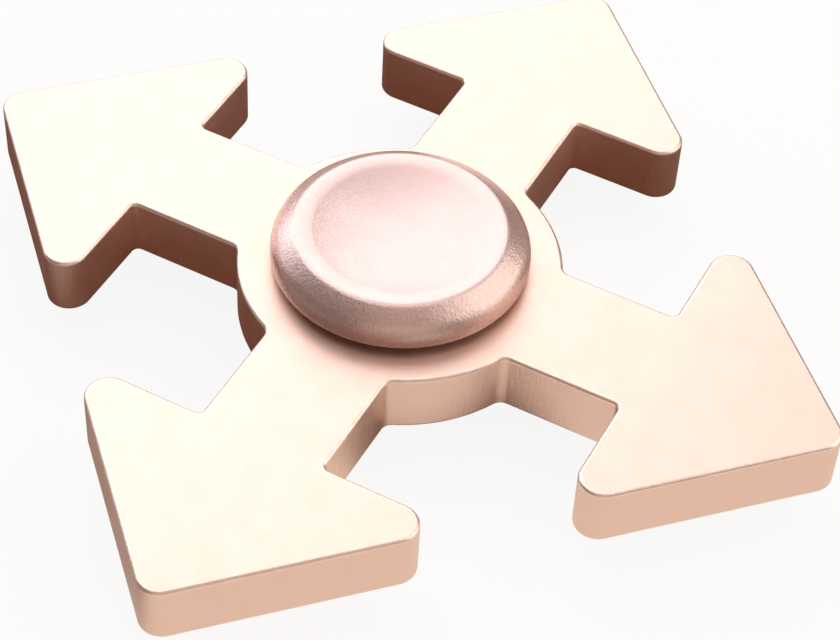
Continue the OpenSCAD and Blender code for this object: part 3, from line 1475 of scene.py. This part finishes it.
@dataclass(frozen=True)
class FloorPaint:
    """Seen white paper; in reflections a warm glow of painted light and shadow; clear from below.

    In reflections it glows dark beside the object, a painted shadow. It gets paler, as painted light,
    past a slanting edge at the front right, in front of the object, and with the distance that the
    reflection reaches.

    Attributes:
        paper: The colour of the seen floor where it takes light and shadow.
        white: How much of the seen floor is plain white instead.
        dark: The painted shadow's colour beside the object, glowing in reflections.
        pale: The painted light's colour away from the object, glowing in reflections.
        slant: The direction across the slanting edge.
        lit: Where the slanting edge begins and ends.
        west: Where the table past the slanting edge begins and ends to dim.
        dim: How pale it still is there.
        front: Where the paler front begins and ends.
        dusk: How pale the front gets.
        reach: The distances between which reflections get paler.
        haze: How pale they get.
    """

    paper: Colour = (0.9, 0.9, 0.9, 1)
    white: float = 0.9
    dark: Colour = (0.11, 0.032, 0.015, 1)
    pale: Colour = (0.84, 0.735, 0.635, 1)
    slant: tuple[float, float, float] = (0.6, -0.8, 0.0)
    lit: Point2 = (13.8 * MM, 16.6 * MM)
    west: Point2 = (-9 * MM, 0.0)
    dim: float = 0.4
    front: Point2 = (16 * MM, 24 * MM)
    dusk: float = 0.33
    reach: Point2 = (18 * MM, 26 * MM)
    haze: float = 0.42

    def make(self) -> Material:
        """Builds the material."""
        sheet = new_sheet("floor_paint")
        sheet.tree.nodes.clear()
        seen = sheet.blend(
            self.white,
            sheet.node("BsdfDiffuse", {"Color": self.paper}),
            sheet.node("Emission", {"Color": (1, 1, 1, 1), "Strength": 1.0}),
        )
        place = sheet.node("TexCoord").outputs["Object"]
        past = sheet.ramp(sheet.along(place, self.slant), *self.lit, 0.0, 1.0)
        eastward = sheet.ramp(sheet.along(place, (1.0, 0.0, 0.0)), *self.west, self.dim, 1.0)
        before = sheet.ramp(sheet.along(place, (0.0, -1.0, 0.0)), *self.front, 0.0, self.dusk)
        light_path = sheet.node("LightPath").outputs
        away = sheet.ramp(light_path["Ray Length"], *self.reach, 0.0, self.haze)
        nearer = sheet.math("MAXIMUM", sheet.math("MULTIPLY", past, eastward), before)
        # painted shadow and painted light: the reflected floor glows dark near the object, paler away
        shade = sheet.mix(sheet.math("MAXIMUM", nearer, away), self.dark, self.pale)
        table_glow = sheet.node("Emission", {"Color": shade, "Strength": 1.0})
        top = sheet.blend(light_path["Is Camera Ray"], table_glow, seen)
        below = sheet.node("NewGeometry").outputs["Backfacing"]
        both = sheet.blend(below, top, sheet.node("BsdfTransparent"))
        sheet.node("OutputMaterial", {0: both.outputs[0]})
        return bpy.data.materials["floor_paint"]


@dataclass(frozen=True)
class Studio:
    """The pale floor, the soft lights and the camera.

    Attributes:
        centre: The middle of the object.
        floor_size: Half the floor's width.
        lights: The soft lights.
        room: The colour and the strength of the dim room.
        aim: How far from the object's middle the camera aims.
    """

    centre: Vector
    floor_size: float = 1.5
    room: tuple[Colour, float] = ((1.0, 0.74, 0.62, 1), 0.19)
    aim: tuple[float, float, float] = (4.34 * MM, -4.88 * MM, 2.5 * MM)
    lights: Sequence[SoftBox] = (
        SoftBox("window", 225, 38, 0.42, 0.56, 0.46, 1.72, (1.0, 0.98, 0.985)),
        SoftBox("ceiling", 205, 86, 0.42, 0.40, 0.24, 1.0, (1.0, 0.96, 0.96)),
        SoftBox("front_high", 30, 60, 0.42, 0.26, 0.22, 0.28, (1.0, 0.66, 0.54)),
        SoftBox("front_low", 30, 24, 0.42, 0.44, 0.30, 0.50, (1.0, 0.78, 0.68)),
        SoftBox("right_card", 118, 32, 0.40, 0.44, 0.44, 1.5, (1.0, 0.92, 0.84)),
        SoftBox("left_low", 264, 16, 0.40, 0.20, 0.20, 1.1, (0.94, 0.94, 1.0)),
    )

    def floor(self) -> None:
        """Makes the floor, just under the object."""
        mesh = bmesh.new()
        bmesh.ops.create_grid(mesh, x_segments=1, y_segments=1, size=self.floor_size)
        bmesh.ops.translate(mesh, verts=mesh.verts, vec=(0, 0, -0.02 * MM))
        floor = put("floor", mesh)
        floor.data.materials.append(FloorPaint().make())

    def set_up(self) -> None:
        """Makes the floor, the lights, the dim room and the camera."""
        self.floor()
        for light in self.lights:
            light.hang(self.centre)
        scene = bpy.context.scene
        scene.world = scene.world or bpy.data.worlds.new("room")
        scene.world.use_nodes = True
        walls = scene.world.node_tree.nodes["Background"]
        walls.inputs["Color"].default_value, walls.inputs["Strength"].default_value = self.room
        scene.view_settings.view_transform = "Standard"
        Viewpoint(self.centre + Vector(self.aim)).place()


# ---------------------------------------------------------------- the whole scene


def clear_scene() -> None:
    """Removes whatever the new file holds."""
    for thing in list(bpy.data.objects):
        bpy.data.objects.remove(thing)


def main() -> None:
    """Builds the spinner and its studio."""
    logging.basicConfig(level=logging.INFO, format="%(name)s: %(message)s")
    clear_scene()
    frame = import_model()
    bench = Bench.from_frame(frame)
    ArrowPlate.from_frame().build(bench)
    Bearing().build(bench)
    FingerCaps.from_frame(bench).build(bench)
    Studio(centre=Vector((0, 0, bench.height))).set_up()


if __name__ == "__main__":
    main()
